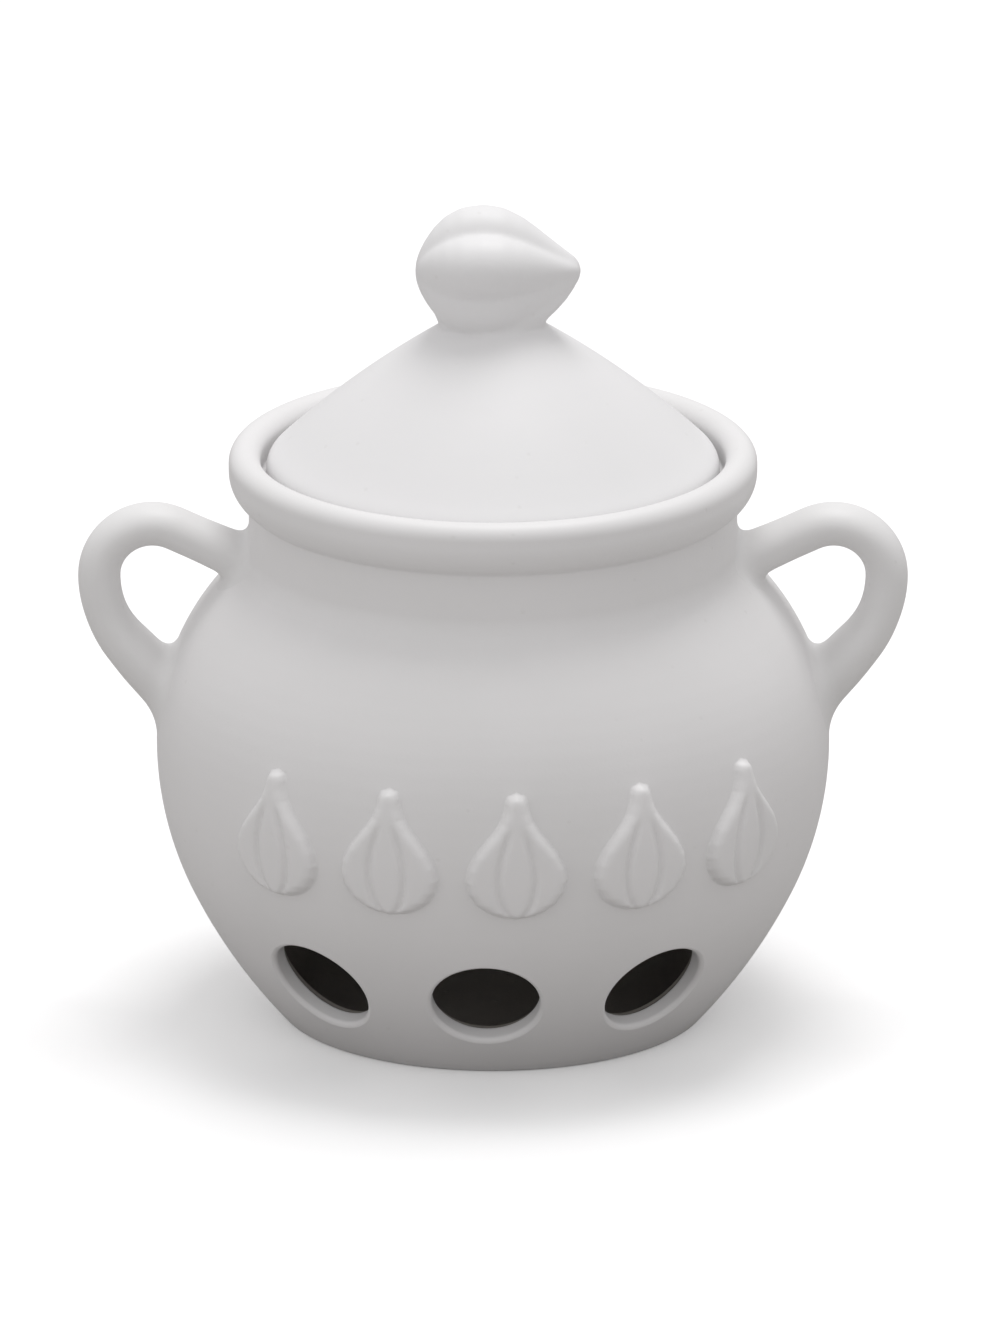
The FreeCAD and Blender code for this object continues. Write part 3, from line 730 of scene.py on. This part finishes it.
def makeGlazeSkin():
    group, given, result = newGroup(
        "glazeSkin",
        [
            ("Place", "NodeSocketVector", None), ("Grain", "NodeSocketFloat", 1400.0),
            ("Ripple", "NodeSocketFloat", 90.0), ("Pins", "NodeSocketFloat", 160.0),
            ("Turning", "NodeSocketFloat", 0.3),
        ],
        [("Height", "NodeSocketFloat"), ("Pinholes", "NodeSocketFloat")],
    )
    links = group.links
    grain = addNode(group, "ShaderNodeTexNoise", Detail=2.0)
    ripple = addNode(group, "ShaderNodeTexNoise", Detail=3.0)
    pins = addNode(group, "ShaderNodeTexVoronoi")
    spot = addNode(group, "ShaderNodeMapRange", From_Min=0.03, From_Max=0.09)
    spot.inputs["To Min"].default_value = 1.0
    spot.inputs["To Max"].default_value = 0.0
    rings = addNode(group, "ShaderNodeTexWave", bands_direction="Z", Scale=95.0, Distortion=1.5)
    rings.inputs["Detail Scale"].default_value = 20.0
    fine = addNode(group, "ShaderNodeMath", operation="MULTIPLY")
    fine.inputs[1].default_value = 0.35  # the grain's share in the height
    turned = addNode(group, "ShaderNodeMath", operation="MULTIPLY")
    first = addNode(group, "ShaderNodeMath", operation="ADD")
    second = addNode(group, "ShaderNodeMath", operation="ADD")
    third = addNode(group, "ShaderNodeMath", operation="SUBTRACT")
    for texture, size in ((grain, "Grain"), (ripple, "Ripple"), (pins, "Pins")):
        links.new(given.outputs["Place"], texture.inputs["Vector"])
        links.new(given.outputs[size], texture.inputs["Scale"])
    links.new(given.outputs["Place"], rings.inputs["Vector"])
    links.new(grain.outputs["Fac"], fine.inputs[0])
    links.new(rings.outputs["Fac"], turned.inputs[0])
    links.new(given.outputs["Turning"], turned.inputs[1])
    links.new(fine.outputs["Value"], first.inputs[0])
    links.new(ripple.outputs["Fac"], first.inputs[1])
    links.new(first.outputs["Value"], second.inputs[0])
    links.new(turned.outputs["Value"], second.inputs[1])
    links.new(pins.outputs["Distance"], spot.inputs["Value"])
    links.new(second.outputs["Value"], third.inputs[0])
    links.new(spot.outputs["Result"], third.inputs[1])
    links.new(third.outputs["Value"], result.inputs["Height"])
    links.new(spot.outputs["Result"], result.inputs["Pinholes"])
    return group


glazeTone = makeGlazeTone()
glazeSkin = makeGlazeSkin()
coats = {  # colours, size and amount of the clouds in the glaze, throwing rings, sheen
    "potGlaze": {
        "colour": (0.815, 0.805, 0.805), "pooled": (0.77, 0.765, 0.76), "size": 26.0, "amount": 0.6,
        "rough": 0.44, "turning": 0.30, "bump": 0.10, "sheen": 0.40,
    },
    "lidGlaze": {
        "colour": (0.82, 0.812, 0.815), "pooled": (0.785, 0.785, 0.785), "size": 30.0, "amount": 0.5,
        "rough": 0.46, "turning": 0.18, "bump": 0.08, "sheen": 0.38,
    },
    "handleGlaze": {
        "colour": (0.815, 0.808, 0.805), "pooled": (0.765, 0.76, 0.755), "size": 45.0, "amount": 0.6,
        "rough": 0.44, "turning": 0.0, "bump": 0.12, "sheen": 0.40,
    },
    "reliefGlaze": {
        "colour": (0.82, 0.81, 0.81), "pooled": (0.77, 0.765, 0.76), "size": 60.0, "amount": 0.5,
        "rough": 0.42, "turning": 0.0, "bump": 0.08, "sheen": 0.42,
    },
    # painted shade: a dark clay colour for the inside, standing in for the shade inside the closed pot
    "insidePaintedShade": {
        "colour": (0.34, 0.315, 0.29), "pooled": (0.29, 0.265, 0.24), "size": 40.0, "amount": 0.7,
        "rough": 0.75, "turning": 0.5, "bump": 0.2, "sheen": 0.2,
    },
}


def glazeMaterial(name):
    values = coats[name]
    material, nodes, links = newMaterial(name)
    tree = material.node_tree
    shader = nodes["Principled BSDF"]
    place = addNode(tree, "ShaderNodeTexCoord")
    tone = addNode(tree, "ShaderNodeGroup", node_tree=glazeTone)
    tone.inputs["Colour"].default_value = (*values["colour"], 1)
    tone.inputs["Pooled"].default_value = (*values["pooled"], 1)
    tone.inputs["Size"].default_value = values["size"]
    tone.inputs["Amount"].default_value = values["amount"]
    tone.inputs["Roughness"].default_value = values["rough"]
    skin = addNode(tree, "ShaderNodeGroup", node_tree=glazeSkin)
    skin.inputs["Turning"].default_value = values["turning"]
    bump = addNode(tree, "ShaderNodeBump", Strength=values["bump"], Distance=0.0003)
    dirt = addNode(tree, "ShaderNodeMix", data_type="RGBA")
    dirt.inputs["B"].default_value = (0.55, 0.53, 0.5, 1)
    faint = addNode(tree, "ShaderNodeMath", operation="MULTIPLY")
    faint.inputs[1].default_value = 0.12  # how dark the pinholes are
    links.new(place.outputs["Object"], tone.inputs["Place"])
    links.new(place.outputs["Object"], skin.inputs["Place"])
    links.new(skin.outputs["Pinholes"], faint.inputs[0])
    links.new(faint.outputs["Value"], dirt.inputs["Factor"])
    links.new(tone.outputs["Colour"], dirt.inputs["A"])
    links.new(dirt.outputs["Result"], shader.inputs["Base Color"])
    links.new(tone.outputs["Roughness"], shader.inputs["Roughness"])
    links.new(skin.outputs["Height"], bump.inputs["Height"])
    links.new(bump.outputs["Normal"], shader.inputs["Normal"])
    shader.inputs["Specular IOR Level"].default_value = values["sheen"]
    return material


def coat(piece, material):
    piece.data.materials.clear()
    piece.data.materials.append(material)


# Paints the inner wall and floor with that dark colour: painted shade for the inside seen through the air
# holes
def paintShadeInside(piece, shadeMaterial):
    piece.data.materials.append(shadeMaterial)
    floor, throat = pot["floor"] - 0.1, pot["seat"] - pot["throatDepth"]
    for face in piece.data.polygons:
        x, y, z = face.center / mm
        inside = math.hypot(x, y) < outside(z) - pot["wall"] + 0.3  # just past the inner wall
        if inside and floor < z < throat:
            face.material_index = 1


coat(potShell, glazeMaterial("potGlaze"))
paintShadeInside(potShell, glazeMaterial("insidePaintedShade"))
coat(lidPiece, glazeMaterial("lidGlaze"))
handleGlaze = glazeMaterial("handleGlaze")
reliefGlaze = glazeMaterial("reliefGlaze")
for piece in (leftHandle, rightHandle):
    coat(piece, handleGlaze)
for piece in bulbs:
    coat(piece, reliefGlaze)
print("glaze is on")


# Who carries what
potNodes = {potShell: "pot_body", leftHandle: "left_handle", rightHandle: "right_handle"}
for number, bulb in enumerate(bulbs):
    potNodes[bulb] = f"raised_bulb_{number + 1}"
for piece, node in potNodes.items():
    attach(piece, "pot")
    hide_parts(node)
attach(lidPiece, "lid")
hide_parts("lid_dome", "garlic_knob")


# Floor and light
studio = {
    "floorSize": 6.0,         # metres
    "floorTone": (0.9, 0.9, 0.9), "floorRough": 0.9, "floorGlow": 0.18,  # as the camera sees it
    "floorBounce": (0.42, 0.41, 0.40),        # as it lights the pot
    "sky": (0.72, 0.715, 0.72),
}


def onlyForCamera(nodes, links, usual, seen, output):
    ray = nodes.new("ShaderNodeLightPath")
    mix = nodes.new("ShaderNodeMixShader")
    links.new(ray.outputs["Is Camera Ray"], mix.inputs["Fac"])
    links.new(usual, mix.inputs[1])
    links.new(seen, mix.inputs[2])
    links.new(mix.outputs["Shader"], output.inputs["Surface"])


def makeFloor():
    deselectAll()
    bpy.ops.mesh.primitive_plane_add(size=studio["floorSize"])
    floor = bpy.context.object
    floor.name = "floor"
    material, nodes, links = newMaterial("paleFloor")
    seen = nodes["Principled BSDF"]
    seen.inputs["Roughness"].default_value = studio["floorRough"]
    seen.inputs["Base Color"].default_value = (*studio["floorTone"], 1)
    seen.inputs["Emission Color"].default_value = (1, 1, 1, 1)
    seen.inputs["Emission Strength"].default_value = studio["floorGlow"]
    bounce = nodes.new("ShaderNodeBsdfDiffuse")
    bounce.inputs["Color"].default_value = (*studio["floorBounce"], 1)
    onlyForCamera(nodes, links, bounce.outputs["BSDF"], seen.outputs["BSDF"], nodes["Material Output"])
    floor.data.materials.append(material)


def makeSky():
    world = bpy.data.worlds.new("studio")
    bpy.context.scene.world = world
    world.use_nodes = True
    nodes, links = world.node_tree.nodes, world.node_tree.links
    sky = nodes["Background"]
    sky.inputs["Color"].default_value = (*studio["sky"], 1)
    sky.inputs["Strength"].default_value = 1.0
    seen = nodes.new("ShaderNodeBackground")
    seen.inputs["Strength"].default_value = 1.0
    onlyForCamera(
        nodes, links, sky.outputs["Background"], seen.outputs["Background"], nodes["World Output"]
    )


lamps = [  # places and sizes in metres, powers in watts
    {"name": "topLamp", "place": (0.1, 0.25, 1.25), "size": 0.6, "power": 6.0},
    {"name": "sideLamp", "place": (-1.6, -1.2, 0.45), "size": 1.0, "power": 1.8},
]
lampAim = Vector((0, 0, 0.07))  # the middle of the pot


def makeLamps():
    for lamp in lamps:
        data = bpy.data.lights.new(lamp["name"], "AREA")
        data.size = lamp["size"]
        data.energy = lamp["power"]
        light = bpy.data.objects.new(lamp["name"], data)
        bpy.context.collection.objects.link(light)
        light.location = lamp["place"]
        aim = lampAim - light.location
        light.rotation_euler = aim.to_track_quat("-Z", "Y").to_euler()


makeFloor()
makeSky()
makeLamps()
print("floor, sky and lamps are set")
bpy.context.scene.view_settings.view_transform = "Standard"
